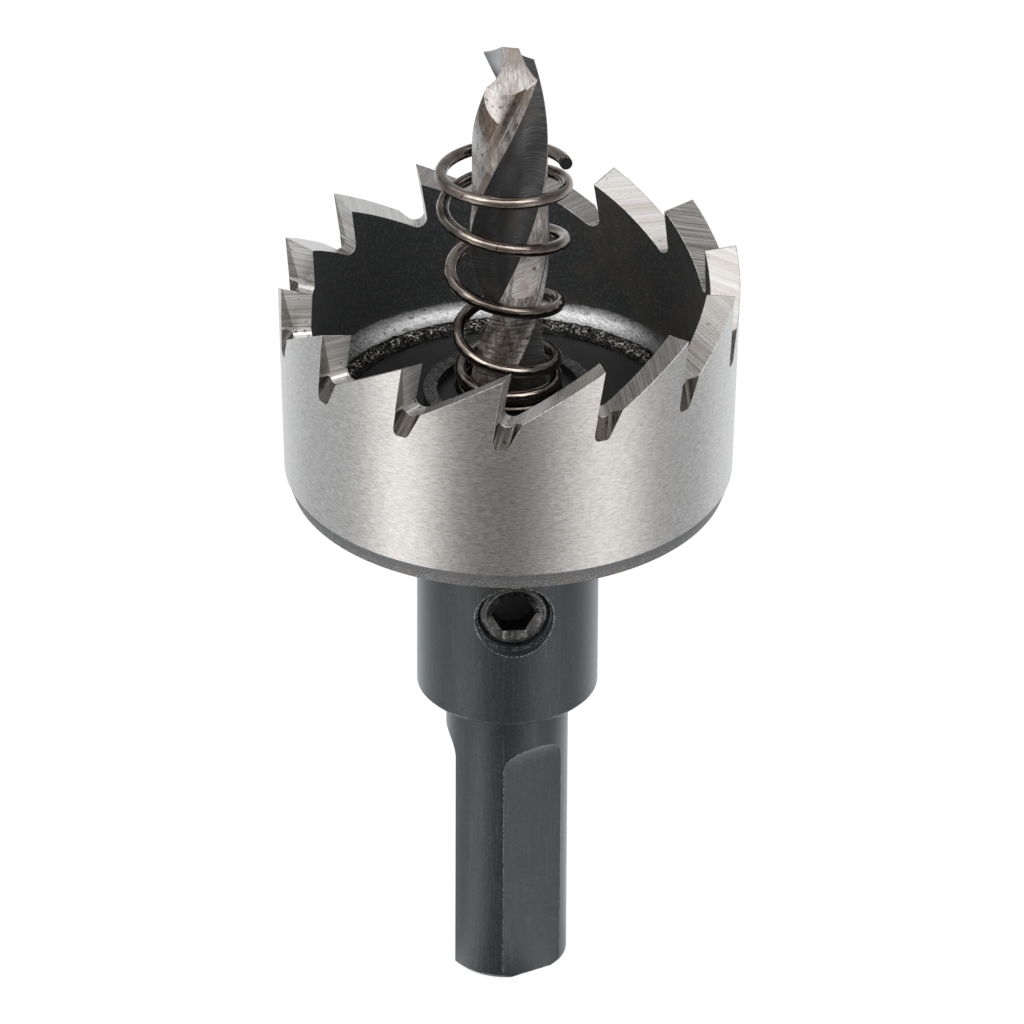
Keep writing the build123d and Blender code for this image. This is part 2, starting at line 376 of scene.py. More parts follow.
groundFinish = {
    # the ground faces of the teeth: which way they are ground, light and dark marks with their
    # roughness, size and contrast, the bump's strength, how many pits, and how metallic
    "cupLand": {
        "way": "grindWay", "light": grey(0.8, 0.01), "dark": grey(0.42, 0.05), "rough": 0.27,
        "fineness": 7500, "length": 90, "bump": 0.12, "contrast": 0.24, "pits": 0.04, "metallic": 0.88},
    "cupRake": {
        "way": "grindWay", "light": grey(0.98, 0), "dark": grey(0.4, 0.03), "rough": 0.34,
        "fineness": 6500, "length": 120, "bump": 0.2, "contrast": 0.16, "pits": 0.1, "metallic": 0.72},
    "cupGullet": {
        "way": "grindWay", "light": grey(0.85, 0.01), "dark": grey(0.3, 0.05), "rough": 0.3,
        "fineness": 5200, "length": 130, "bump": 0.3, "contrast": 0.14, "pits": 0.3, "metallic": 0.8},
    "cupRelief": {
        "way": "reliefUphill", "light": grey(0.3, 0.04), "dark": grey(0.045, 0.1), "rough": 0.4,
        "fineness": 4600, "length": 260, "bump": 0.6, "contrast": 0.22, "pits": 0.3, "metallic": 1},
    "tinge": (0.32, 0.25, 0.2, 1), "pit": (0.05, 0.035, 0.028, 1), "bare": grey(0.82, 0.03),
    "stain": (0.1, 0.065, 0.045, 1), "roughSwing": 0.08,
}


def makeGroundSteel(name, bevel=None):
    face = groundFinish[name]
    dark, contrast, rough, swing = face["dark"], face["contrast"], face["rough"], groundFinish["roughSwing"]
    made, tree, specks, wear = startMaterial(
        name, specks=(4500, face["pits"]), wear=(0.00009, 0.7), Metallic=face["metallic"])
    lines = useGroup(
        tree, grindLines, Way=tuple(teeth[face["way"]]), Fineness=face["fineness"], Length=face["length"])
    fine = lines["Fine"]
    colour = mix(remap(fine, 0.5 - contrast, 0.5 + contrast), dark, face["light"])
    # painted shade: some teeth darker than others, standing in for how each tooth reflects the light
    colour = mix(remap(lines["ToothShade"], 0.35, 0.65, 0, 0.3), colour, dark)
    tinge = [(own + over) / 2 for own, over in zip(dark, groundFinish["tinge"])]
    colour = mix(product(remap(lines["Broad"], 0.42, 0.7), 0.45), colour, tinge)
    if bevel:
        z, reach = placeParts(tree, "z", "reach")
        down = minus(teeth["tipHeight"] * mm, z)
        inset = minus(bevel["outside"], reach)
        # painted shade on the outer facet, multiplied in by the tint
        outer = minus(product(down, bevel["slope"]), inset)
        colour = mix(remap(outer, -0.00004, 0.00004), colour, bevel["tint"], "MULTIPLY")
    colour = layered(colour, (
        (product(specks["Pits"], 0.75), groundFinish["pit"]),
        (wear["Mask"], groundFinish["bare"]),
        (product(wear["Stain"], 0.8), groundFinish["stain"])))
    return dress(
        made, colour, remap(fine, 0.2, 0.8, rough - swing, rough + swing),
        bumpOf(fine, face["bump"], 0.00005, wear["Normal"]))


boreFinish = {
    "skin": grey(0.046, -0.05), "skinGrain": (0.115, 0.117, 0.119, 1), "rust": (0.095, 0.085, 0.068, 1),
    "steel": grey(0.8, -0.005), "steelDim": grey(0.38, -0.01),
    # from where to where, in metres: the end of the black skin on the rounded corner, the painted shade
    # that darkens the ring towards the front, and the dark gap to the floor, a painted shadow
    "skinEnd": (0.05272, 0.05296), "paintedShadeFront": (0.013, 0.009), "gap": (0.05188, 0.052),
}


def makeCupBore():
    made, tree, specks = startMaterial("cupBore", specks=(4500, 0.3))
    x, y, z = placeParts(tree, "x", "y", "z")
    grain, cloud = specks["Grain"], specks["Cloud"]
    middling = minus(grain, 0.5)
    skin = mix(remap(grain, 0.45, 0.8), boreFinish["skin"], boreFinish["skinGrain"])
    # rust on the right at the back
    aside = remap(minus(x, product(y, -0.7)), 0.006, 0.02)
    rusty = product(aside, remap(cloud, 0.4, 0.65), grain, 1.1)
    skin = layered(skin, (
        (rusty, boreFinish["rust"]),
        (product(specks["Specks"], 0.3), grey(0.22, 0.01))))
    fine = useGroup(tree, turningLines, Along=40, Across=7500)["Fine"]
    steel = mix(remap(fine, 0.3, 0.62), boreFinish["steelDim"], boreFinish["steel"])
    steel = layered(steel, (
        (remap(grain, 0.5, 0.7, 0, 0.5), boreFinish["steelDim"]),
        (product(specks["Pits"], 0.6), grey(0.05))))
    # painted shadow in the gap at the foot of the ring: the steel turns near black below these heights
    ragged = mathOf("MULTIPLY_ADD", grain, 0.0006, z)
    steel = mix(remap(ragged, *boreFinish["gap"], 0.9, 0), steel, grey(0.008))
    # painted shade: the bright ring darkened towards the front
    shadeTowardsFront = mathOf("ADD", y, product(middling, 0.008))
    steel = mix(remap(shadeTowardsFront, *boreFinish["paintedShadeFront"], 0, 0.85), steel, grey(0.06))
    height = mathOf("MULTIPLY_ADD", minus(cloud, 0.5), 0.0008, z)
    coated = remap(mathOf("ADD", height, product(middling, 0.0003)), *boreFinish["skinEnd"])
    metallic = remap(coated, 0, 1, 0.75, 0.1)
    rough = mathOf("MAXIMUM", remap(grain, 0.3, 0.7, 0.4, 0.55), product(coated, 0.55))
    height = mathOf("ADD", fine, grain)
    return dress(made, mix(coated, steel, skin), rough, bumpOf(height, 0.3, 0.00004), Metallic=metallic)


skins = {
    # plain dark surfaces; the socket's inside is near-black painted shade
    # the arbor's inside; the same dark skin is also the painted shade under the hub
    "arborInsideAndHubShade": {
        "base": grey(0.028, -0.03), "light": grey(0.055, -0.02), "rough": 0.36, "size": 4800,
        "metallic": 0.2, "bump": 0.15},
    "collarTop": {
        "base": grey(0.02), "light": grey(0.3, 0.01), "rough": 0.4, "size": 6500,
        "metallic": 0.6, "bump": 0.8},
    "springCut": {
        "base": grey(0.005), "light": grey(0.015), "rough": 0.5, "size": 5000,
        "metallic": 0.3, "bump": 0.4},
    "socketInsideShade": {
        "base": grey(0.002), "light": grey(0.006), "rough": 0.5, "size": 3500,
        "metallic": 0, "bump": 0.3},
    "roughSwing": 0.08,
}


def makeDarkSkin(name):
    skin = skins[name]
    made, tree, specks = startMaterial(name, specks=(skin["size"], 0.3), Metallic=skin["metallic"])
    grain = specks["Grain"]
    colour = mix(remap(grain, 0.35, 0.75), skin["base"], skin["light"])
    colour = mix(remap(specks["Cloud"], 0.35, 0.7, 0, 0.35), colour, skin["base"])
    smooth, dull = skin["rough"] - skins["roughSwing"], skin["rough"] + skins["roughSwing"]
    return dress(made, colour, remap(grain, 0.3, 0.7, smooth, dull), bumpOf(grain, skin["bump"], 0.00005))


oxideFinish = {
    "base": (0.013, 0.017, 0.021, 1), "light": (0.042, 0.052, 0.062, 1), "streak": (0.09, 0.1, 0.11, 1),
    "shadow": (0.006, 0.0065, 0.007, 1), "shadowUnderHub": (0.0255, 0.0263, 0.00035), "rough": (0.37, 0.51),
    # the bright specks stop between these heights, and how strong they are
    "above": (0.0268, 0.0262), "below": (0.0252, 0.0248), "specks": 1.98,
}


def makeBlackOxide():
    # blued steel: a fine grain, faint streaks along the shank, bright specks on its edges
    made, tree, specks, wear = startMaterial(
        "blackOxide", specks=(5200, 0.4), wear=(0.00016, 0.8),
        Metallic=0.4, Coat_Weight=0.8, Coat_Roughness=0.34, Coat_IOR=1.5,
        Sheen_Weight=0.7, Sheen_Roughness=0.38, Sheen_Tint=(0.8, 0.92, 1, 1))
    place, z = placeParts(tree, "place", "z")
    grain = specks["Grain"]
    colour = mix(remap(grain, 0.35, 0.75), oxideFinish["base"], oxideFinish["light"])
    streaks = noiseOf(scaled(place, (4200, 4200, 160)), 1, 3, 0.65)
    colour = layered(colour, (
        (remap(streaks, 0.5, 0.75, 0, 0.45), oxideFinish["streak"]),
        (remap(specks["Cloud"], 0.4, 0.7, 0, 0.4), oxideFinish["base"]),
        (product(specks["Pits"], 0.6), grey(0.012))))
    # no bright specks on the corner under the hub
    kept = mathOf("MAXIMUM", remap(z, *oxideFinish["above"], 1, 0), remap(z, *oxideFinish["below"]))
    rubbed = product(wear["Mask"], remap(grain, 0.44, 0.56), kept)
    rubbed = mathOf("MULTIPLY", rubbed, oxideFinish["specks"], clamp=True)
    colour = mix(rubbed, colour, grey(0.5, -0.02))
    # painted contact shadow under the hub: the oxide darkened between these heights
    under = product(between(z, *oxideFinish["shadowUnderHub"]), 0.8)
    colour = mix(under, colour, oxideFinish["shadow"])
    rough = remap(grain, 0.3, 0.7, *oxideFinish["rough"])
    height = mathOf("ADD", grain, product(streaks, 0.5))
    return dress(made, colour, rough, bumpOf(height, 0.6, 0.00005))


drill = {
    # the same sizes as in the CAD source
    "radius": 3.175, "tip": 85, "lead": math.pi * 6.35 / math.tan(math.radians(24.25)), "turn": 13.7,
    "halfLand": 38, "relief": 0.14,
}


def makeDrillPlace():
    # Where a place is on the drill: Land counts degrees from the middle of the
    # nearest land, heel first, Which is 0 or 1 for the two lands, Down is in mm.
    tree, given, result = newGroup("drillPlace", {}, {"Land": "Float", "Which": "Float", "Down": "Float"})
    x, y, z = placeParts(tree, "x", "y", "z")
    down = minus(drill["tip"], product(z, 1000))
    angle = product(mathOf("ARCTAN2", x, mathOf("MULTIPLY", y, -1)), 180 / math.pi)
    turned = mathOf("MULTIPLY_ADD", down, 360 / drill["lead"], minus(angle, drill["turn"]))
    halves = mathOf("DIVIDE", turned, 180)
    nearest = mathOf("ROUND", halves)
    feed(product(minus(halves, nearest), 180), result, "Land")
    feed(mathOf("ABSOLUTE", mathOf("MODULO", nearest, 2)), result, "Which")
    feed(down, result, "Down")
    return tree


drillPlace = makeDrillPlace()


drillFinish = {
    "steel": grey(0.45, 0.03), "brown": (0.22, 0.17, 0.135, 1), "bright": grey(0.82, 0.02),
    "pit": (0.07, 0.045, 0.03, 1), "flute": grey(0.062, -0.02), "fluteLine": grey(0.135, -0.01),
    "rough": (0.26, 0.44),
}
marks = {
    # Marks on the lands: degrees across the land or mm under the tip, from where to
    # where, then how soft the ends are or how strong the mark is at each.
    "facetTop": 2.55, "facetSpan": 48,
    "leafEnd": (12, 14.5, 1, 0), "leafCurve": 0.5, "leafDrop": 2.9, "leafSoft": (-0.08, 0.08),
    "patchEnd": (6, 8.5, 1, 0), "patchCurve": 0.28, "patchDrop": 4.9, "patchSoft": (-0.1, 0.1),
    "rubbedTop": (17.4, 18.4), "rubbedFoot": 21.3, "rubbedSoft": (-0.06, 0.06), "rubbedAcross": (-41, 4, 1.5),
    "rubbedMiddle": -19, "rubbedHalf": 24, "corners": 6, "leanFrom": 18, "lean": 5,
    "scratch": (6.5, 0.09, 0.05),
    "streakAcross": (9, 23, 6), "streakDown": (4.5, 12, 1, 0.25),
    "marginAcross": (27, 39, 3), "marginDown": (4, 12, 0.5, 0.2),
    "stripAcross": (-8, -16), "stripDown": (6.5, 12.5, 0.8), "bareDown": (12, 15),
    "ridgeDown": (21.5, 23.5, 0, 0.85), "ridge": (0.045, 5.5), "sheenShadeDown": (21.5, 24.5, 0, 0.8),
    "heelSheen": (-20, -7, 6), "marginSheen": (26, 39, 4),
}


def groundFacets(land, down, first):
    # Masks of the shiny leaf and the dark patch behind the point. The lower edge of
    # each curves down from the heel.
    across = mathOf("DIVIDE", mathOf("ADD", land, drill["halfLand"]), marks["facetSpan"])
    depth = minus(down, marks["facetTop"])
    masks = []
    for name in ("leaf", "patch"):
        edge = product(mathOf("POWER", across, marks[name + "Curve"], clamp=True), marks[name + "Drop"])
        side = remap(minus(edge, depth), *marks[name + "Soft"])
        masks.append(product(first, remap(land, *marks[name + "End"]), side))
    leaf, patch = masks
    return leaf, product(patch, minus(1, leaf))


def rubbedPatch(land, down, which):
    # the mask of a bright flat patch on the other land, and its slanting scratches
    upright = minus(land, product(minus(down, marks["leanFrom"]), marks["lean"]))
    middle = mathOf("DIVIDE", minus(upright, marks["rubbedMiddle"]), marks["rubbedHalf"])
    corners = mathOf("POWER", mathOf("ABSOLUTE", middle), marks["corners"])
    foot = minus(minus(marks["rubbedFoot"], corners), down)
    rubbed = product(remap(down, *marks["rubbedTop"]), remap(foot, *marks["rubbedSoft"]), which,
                     between(upright, *marks["rubbedAcross"]))
    perDown, perLand, along = marks["scratch"]
    slant = mathOf("ADD", product(down, perDown), product(land, perLand))
    return rubbed, noiseOf(combined(slant, product(land, along), 0), 1, 4, 0.7)


def deepMarks(land, down):
    # Masks of the ridges across the land, deep down where nothing has worn them, and
    # of the painted shade on the land beside two bands of painted sheen
    perLand, perDown = marks["ridge"]
    ridges = noiseOf(combined(product(land, perLand), product(down, perDown), 0), 1, 4, 0.7)
    heel, margin = (between(land, *marks[name]) for name in ("heelSheen", "marginSheen"))
    dull = mathOf("SUBTRACT", 1, mathOf("ADD", heel, margin), clamp=True)
    return product(remap(down, *marks["ridgeDown"]), remap(ridges, 0.44, 0.6)), product(
        remap(down, *marks["sheenShadeDown"]), dull)


def makeDrillLand():
    made, tree, specks, wear = startMaterial("drillLand", specks=(3600, 0.3), wear=(0.0001, 0.5))
    land, which, down = useGroup(tree, drillPlace)
    first = minus(1, which)
    place = addNode(tree, "TexCoord").outputs["Object"]
    fine = noiseOf(scaled(place, (5200, 5200, 2200)), 1, 4, 0.7)
    stain = noiseOf(scaled(place, (620, 620, 300)), 1, 4, 0.65)
    leaf, patch = groundFacets(land, down, first)
    rubbed, scratch = rubbedPatch(land, down, which)
    ridged, sheenShade = deepMarks(land, down)
    streak, margin = (
        product(between(land, *marks[name + "Across"]), remap(down, *marks[name + "Down"]))
        for name in ("streak", "margin"))
    strip = product(first, remap(land, *marks["stripAcross"]), between(down, *marks["stripDown"]))
    bare = product(remap(down, *marks["bareDown"]), remap(fine, 0.4, 0.58), remap(stain, 0.6, 0.4, 0.35, 1))
    darkened = mix(remap(fine, 0.3, 0.7), (0.09, 0.066, 0.052, 1), (0.25, 0.2, 0.165, 1))
    shiny = mix(remap(fine, 0.3, 0.55), (0.6, 0.5, 0.43, 1), grey(0.95, 0.03))
    scratched = mix(remap(scratch, 0.42, 0.6), (0.62, 0.53, 0.46, 1), grey(0.97, 0.01))
    colour = mix(remap(fine, 0.35, 0.65, 0, 0.5), drillFinish["steel"], drillFinish["bright"])
    colour = layered(colour, (
        (remap(stain, 0.38, 0.58, 0, 0.9), drillFinish["brown"]),
        (patch, darkened),
        (leaf, shiny),
        (rubbed, scratched),
        (product(first, streak, remap(stain, 0.26, 0.46)), darkened),
        (product(margin, remap(stain, 0.62, 0.4), remap(fine, 0.3, 0.6)), drillFinish["bright"]),
        (product(strip, 0.7), grey(0.6, -0.02)),
        (product(specks["Pits"], 0.7), drillFinish["pit"]),
        (product(wear["Mask"], 0.8), grey(0.75, 0.02)),
        (product(bare, minus(1, rubbed)), grey(0.8, 0.02)),
        (ridged, (0.1, 0.075, 0.06, 1)),
        # painted shade, leaving two bands of painted sheen
        (sheenShade, (0.42, 0.38, 0.35, 1), "MULTIPLY")))
    rough = remap(fine, 0.25, 0.75, *drillFinish["rough"])
    metallic = remap(down, 4, 14, 0.9, 0.2)
    return dress(made, colour, rough, bumpOf(fine, 0.3, 0.00006, wear["Normal"]), Metallic=metallic)


def makeDrillFlute():
    # dark, with fine scratches across the flute
    made, tree, wear = startMaterial("drillFlute", wear=(0.0001, 0.5), Metallic=0.4)
    land, which, down = useGroup(tree, drillPlace)
    place, x = placeParts(tree, "place", "x")
    slope = mathOf("ADD", product(down, 17), product(land, 0.5))
    scratch = noiseOf(combined(slope, product(land, 0.12), which), 1, 4, 0.75)
    stain = noiseOf(place, 420, 3)
    colour = mix(remap(scratch, 0.45, 0.75), drillFinish["flute"], drillFinish["fluteLine"])
    # painted sheen: brighter towards the lip
    lip = mathOf("ABSOLUTE", minus(mathOf("ABSOLUTE", land), drill["halfLand"]))
    glow = product(remap(lip, 1, 10, 0.4, 0), remap(scratch, 0.42, 0.7))
    colour = layered(colour, (
        (glow, grey(0.35, 0.01)),
        (remap(stain, 0.5, 0.7, 0, 0.5), (0.07, 0.05, 0.038, 1))))
    # ground bare behind one lip
    bare = product(remap(down, 4.2, 2.2), remap(x, -0.0002, -0.0009))
    colour = layered(colour, (
        (product(bare, 0.85), grey(0.6, -0.02)),
        (product(wear["Mask"], 0.7), grey(0.6, 0.02))))
    return dress(
        made, colour, remap(scratch, 0.3, 0.7, 0.28, 0.42),
        bumpOf(scratch, 0.08, 0.00004, wear["Normal"]))


def makeDrillPoint():
    made, tree, specks, wear = startMaterial(
        "drillPoint", specks=(3800, 0.2), wear=(0.0001, 0.4), Metallic=0.9)
    place, z = placeParts(tree, "place", "z")
    scratch = noiseOf(scaled(place, (6500, 900, 900)), 1, 4, 0.75)
    colour = mix(remap(scratch, 0.3, 0.72), (0.22, 0.19, 0.17, 1), grey(0.56, 0.01))
    colour = mix(remap(z, 0.0833, 0.0843, 0, 0.65), colour, (0.16, 0.135, 0.12, 1))
    blotches = noiseOf(place, 900, 4, 0.7)
    colour = layered(colour, (
        (remap(blotches, 0.48, 0.66, 0, 0.6), (0.2, 0.155, 0.12, 1)),
        (product(specks["Pits"], 0.8), drillFinish["pit"]),
        (wear["Mask"], grey(0.8, 0.03))))
    return dress(
        made, colour, remap(scratch, 0.3, 0.7, 0.32, 0.48),
        bumpOf(scratch, 0.2, 0.00005, wear["Normal"]))


springFinish = {
    "dark": (0.1, 0.083, 0.071, 1), "light": (0.32, 0.276, 0.24, 1), "rust": (0.13, 0.045, 0.018, 1),
    "rough": 0.13, "recessShadeTop": 0.0553,
}


def makeSpringMetal():
    made, tree, specks = startMaterial("springMetal", specks=(3000, 0.12), Metallic=1)
    place, z = placeParts(tree, "place", "z")
    broad = noiseOf(place, 330, 3, 0.6)
    colour = mix(remap(broad, 0.3, 0.68), springFinish["dark"], springFinish["light"])
    grain = remap(specks["Grain"], 0.55, 0.8, 0, 0.35)
    colour = layered(colour, (
        (grain, springFinish["light"]),
        (product(specks["Pits"], 0.8), springFinish["rust"])))
    # painted shade of the recess: the spring darkened below this height
    recessShade = remap(z, springFinish["recessShadeTop"] - 0.0006, springFinish["recessShadeTop"], 0.85, 0)
    colour = mix(recessShade, colour, (0.06, 0.05, 0.042, 1))
    rough = springFinish["rough"]
    return dress(
        made, colour, remap(specks["Grain"], 0.3, 0.7, rough - 0.04, rough + 0.08),
        bumpOf(specks["Grain"], 0.12, 0.00004))


def makeBeadMetal():
    # rough braze: black in the hollows, with pale sparkling grains on the lumps that are painted glints
    made, tree = startMaterial("beadMetal", Metallic=0.8)
    place, reach = placeParts(tree, "place", "reach")
    grains = addNode(tree, "TexVoronoi")
    feed(place, grains, "Vector")
    feed(6500, grains, "Scale")
    lumps = noiseOf(place, 4600, 3, 0.75)
    seen = remap(minus(lumps, product(grains.outputs["Distance"], 0.2)), 0.4, 0.56)
    # painted shade: the skirts towards the wall and the floor are darkened
    middle = minus(reach, 0.00045)
    ragged = mathOf("MULTIPLY_ADD", noiseOf(place, 1300, 3), 0.0009, middle)
    inner = between(ragged, 0.01395, 0.01478, 0.00012)
    seen = product(seen, remap(inner, 0, 1, 0.12, 1))
    colour = mix(seen, grey(0.008), (0.8, 0.77, 0.72, 1))
    height = minus(lumps, product(grains.outputs["Distance"], 0.5))
    return dress(made, colour, remap(lumps, 0.3, 0.7, 0.45, 0.25), bumpOf(height, 0.9, 0.00012))


def makeScrewMetal():
    made, tree, specks, wear = startMaterial(
        "screwMetal", specks=(2600, 0.3), wear=(0.0001, 0.7), Metallic=0.8, Coat_Weight=0.8, Coat_Roughness=0.12)
    colour = mix(remap(specks["Grain"], 0.4, 0.75), grey(0.03), grey(0.17, 0.01))
    # bright lines along the sharp edges of the rim and socket: edge wear, and painted highlights for the arcs
    colour = mix(product(wear["Mask"], 0.85), colour, grey(0.7))
    return dress(
        made, colour, remap(specks["Cloud"], 0.3, 0.7, 0.12, 0.24),
        bumpOf(specks["Grain"], 0.3, 0.00006, wear["Normal"]))


cupFinishes = [
    makeCupSide(), makeCupEdge(), makeCupBore(), makeGroundSteel("cupLand"),
    makeGroundSteel("cupRake", rakeBevelShade), makeGroundSteel("cupRelief"), makeGroundSteel("cupGullet")]
arborFinishes = [makeBlackOxide(), makeDarkSkin("arborInsideAndHubShade"), makeDarkSkin("collarTop")]
drillFinishes = [makeDrillLand(), makeDrillFlute(), makeDrillPoint()]
springFinishes = [makeSpringMetal(), makeDarkSkin("springCut")]
beadFinishes = [makeBeadMetal()]
screwFinishes = [makeScrewMetal(), makeDarkSkin("socketInsideShade")]
print("finishes made")


def finishFaces(name, materials, chooser):
    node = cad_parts[name]
    node.data.materials.clear()
    for made in materials:
        node.data.materials.append(made)
    for face in node.data.polygons:
        face.material_index = chooser(face.center / mm, face.normal)


def outwardOf(place, normal):
    reach = max(math.hypot(place.x, place.y), 1e-6)    # never 0
    return reach, (normal.x * place.x + normal.y * place.y) / reach


cupZones = {
    # heights and reaches in mm, and parts of a normal, that tell the cup's surfaces apart
    "upright": 0.97, "sideFoot": 47, "sideReach": 17.9, "edgeTop": 47.05, "edgeOut": 0.5, "footDown": -0.9,
    "boreReach": 16.5, "floorTop": 53.4, "floorReach": 16.4, "landTurned": -0.45,
}


def cupFace(place, normal):
    # the number of a face's finish in cupFinishes
    reach, outward = outwardOf(place, normal)
    if outward > cupZones["upright"] and place.z > cupZones["sideFoot"] and reach > cupZones["sideReach"]:
        return 0
    if place.z < cupZones["edgeTop"] and (outward > cupZones["edgeOut"] or normal.z < cupZones["footDown"]):
        return 1
    if outward < -cupZones["upright"] and reach < cupZones["boreReach"]:
        return 2
    if place.z < cupZones["floorTop"] and reach < cupZones["floorReach"]:
        return 2
    turned = Matrix.Rotation(-math.radians(toothTurn(place)), 3, "Z") @ normal
    if abs(turned.dot(teeth["reliefUphill"])) < abs(turned.dot(teeth["grindWay"])):
        return 5
    # the land and the rake face are flat, and the floor of the gullet turns from one to the other
    if turned.x < cupZones["landTurned"]:
        return 3
    return 4 if normal.z < 0 else 6


arborZones = {"shadowUnderHub": (25.5, 26.5), "down": -0.3, "insideFrom": 51, "collarFrom": 53.7, "up": 0.9}


def arborFace(place, normal):
    # the number of a face's finish in arborFinishes
    low, high = arborZones["shadowUnderHub"]
    if place.z < arborZones["insideFrom"]:
        # the hub's underside and chamfer get the dark inside finish as painted shade under the hub
        return 1 if low < place.z < high and normal.z < arborZones["down"] else 0
    return 2 if place.z > arborZones["collarFrom"] and normal.z > arborZones["up"] else 1


drillZones = {"pointFrom": 80, "pointUp": 0.6, "landSlack": 0.08, "landOut": 0.93, "fluteFrom": 47.9}


def drillFace(place, normal):
    # the number of a face's finish in drillFinishes
    reach, outward = outwardOf(place, normal)
    landReach = drill["radius"] - drill["relief"] - drillZones["landSlack"]
    if place.z > drillZones["pointFrom"] and normal.z > drillZones["pointUp"]:
        return 2
    if reach > landReach and outward > drillZones["landOut"]:
        return 0
    return 0 if place.z < drillZones["fluteFrom"] else 1


finishFaces("saw_cup", cupFinishes, cupFace)
finishFaces("arbor", arborFinishes, arborFace)
finishFaces("pilot_drill", drillFinishes, drillFace)
print("CAD nodes finished")


def show(name, data):
    made = bpy.data.objects.new(name, data)
    bpy.context.scene.collection.objects.link(made)
    return made


def objectFrom(name, bm, materials):
    mesh = bpy.data.meshes.new(name)
    bm.to_mesh(mesh)
    bm.free()
    for made in materials:
        mesh.materials.append(made)
    return show(name, mesh)


def addPiece(name, bm, materials, replaced):
    piece = objectFrom(name, bm, materials)
    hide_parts(replaced)
    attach(piece, "root")


def spinRound(bm, steps):
    bmesh.ops.spin(bm, geom=bm.verts[:] + bm.edges[:], cent=(0, 0, 0), axis=(0, 0, 1), angle=2 * math.pi,
                   steps=steps, use_merge=True)


spring = {
    # a round wire on the same line as the CAD one
    "wire": 1.03, "bottomRadius": 3.88, "flare": 1.17, "closedPitch": 1.2, "openPitch": 5.92,
    "topTurns": 1.08, "openTurns": 2.86, "bottomTurns": 2.09, "eased": 0.3, "endTurn": 92,
    "lean": 0.5, "tilt": 0.5, "seat": 53 + 0.515 + 0.03, "steps": 40, "sides": 20, "merge": 0.001,
}


def openTurns(turns):
    def easedPast(past):
        return (past + math.sqrt(past ** 2 + spring["eased"] ** 2)) / 2

    pastTop = turns - spring["topTurns"]
    return easedPast(pastTop) - easedPast(pastTop - spring["openTurns"])


def springFall(turns):
    return spring["closedPitch"] * turns + (spring["openPitch"] - spring["closedPitch"]) * openTurns(turns)


def springPlace(turns, allTurns):
    rise = springFall(allTurns) - springFall(turns)
    share = 1 - openTurns(turns) / spring["openTurns"]
    blend = share * share * (3 - 2 * share)
    radius = spring["bottomRadius"] + spring["flare"] * blend
    lean = spring["lean"] * rise / springFall(allTurns)
    angle = math.radians(spring["endTurn"] + 360 * turns)
    height = spring["seat"] + rise + spring["tilt"] * blend * math.cos(angle)
    return Vector((radius * math.sin(angle) - lean, -radius * math.cos(angle), height)) * mm


def buildSpring():
    allTurns = spring["topTurns"] + spring["openTurns"] + spring["bottomTurns"]
    count = round(allTurns * spring["steps"])
    line = bpy.data.curves.new("springLine", "CURVE")
    line.dimensions = "3D"
    line.bevel_depth = spring["wire"] / 2 * mm
    line.bevel_resolution = spring["sides"] // 4
    line.use_fill_caps = True
    path = line.splines.new("POLY")
    path.points.add(count)
    for index, point in enumerate(path.points):
        point.co = (*springPlace(allTurns * index / count, allTurns), 1)
    holder = show("springLine", line)
    bpy.context.view_layer.update()
    made = bpy.data.meshes.new_from_object(holder)
    bpy.data.objects.remove(holder)
    bm = bmesh.new()
    bm.from_mesh(made)
    bmesh.ops.remove_doubles(bm, verts=bm.verts, dist=spring["merge"] * mm)
    bmesh.ops.recalc_face_normals(bm, faces=bm.faces)
    for face in bm.faces:
        face.smooth = len(face.verts) == 4
        face.material_index = 0 if face.smooth else 1
    addPiece("springWire", bm, springFinishes, "ejector_spring")


buildSpring()
print("spring built")


bead = {
    # section of the braze from its inner toe to the groove: reach and height in mm
    "section": [(13.55, 51.19), (13.62, 51.3), (13.85, 51.46), (14.15, 51.6), (14.45, 51.7),
                (14.7, 51.76), (14.9, 51.79), (15.04, 51.74), (15.06, 51.66)],
    "under": [(14.13, 50.76), (14.11, 50.9), (13.82, 51.2)],
    "steps": 640, "lumpSize": 0.62, "lump": 0.2, "grainSize": 0.2, "grain": 0.07,
    # the underside stays smooth, and the lumps end at the wall
    "smoothTop": 51.25, "smoothReach": 14.2, "lumpEnd": 15.1, "fade": 0.2,
}


def buildBead():
    bm = bmesh.new()
    outline = bead["section"] + bead["under"]
    loop = [bm.verts.new((reach * mm, 0, height * mm)) for reach, height in outline]
    edges = [bm.edges.new((loop[index - 1], loop[index])) for index in range(len(loop))]
    bmesh.ops.subdivide_edges(bm, edges=edges[1:len(bead["section"])], cuts=1)
    spinRound(bm, bead["steps"])
    bmesh.ops.recalc_face_normals(bm, faces=bm.faces)
    bm.normal_update()
    for vert in bm.verts:
        place = vert.co / mm
        reach = math.hypot(place.x, place.y)
        if place.z < bead["smoothTop"] and reach < bead["smoothReach"]:
            continue
        lump = noise.noise(place / bead["lumpSize"]) * bead["lump"]
        grain = noise.noise(place / bead["grainSize"]) * bead["grain"]
        held = min(1, max(0, (bead["lumpEnd"] - reach) / bead["fade"]))
        vert.co += vert.normal * (lump + grain) * held * mm
    for face in bm.faces:
        face.smooth = True
    addPiece("brazeRing", bm, beadFinishes, "braze_bead")


buildBead()
print("bead built")


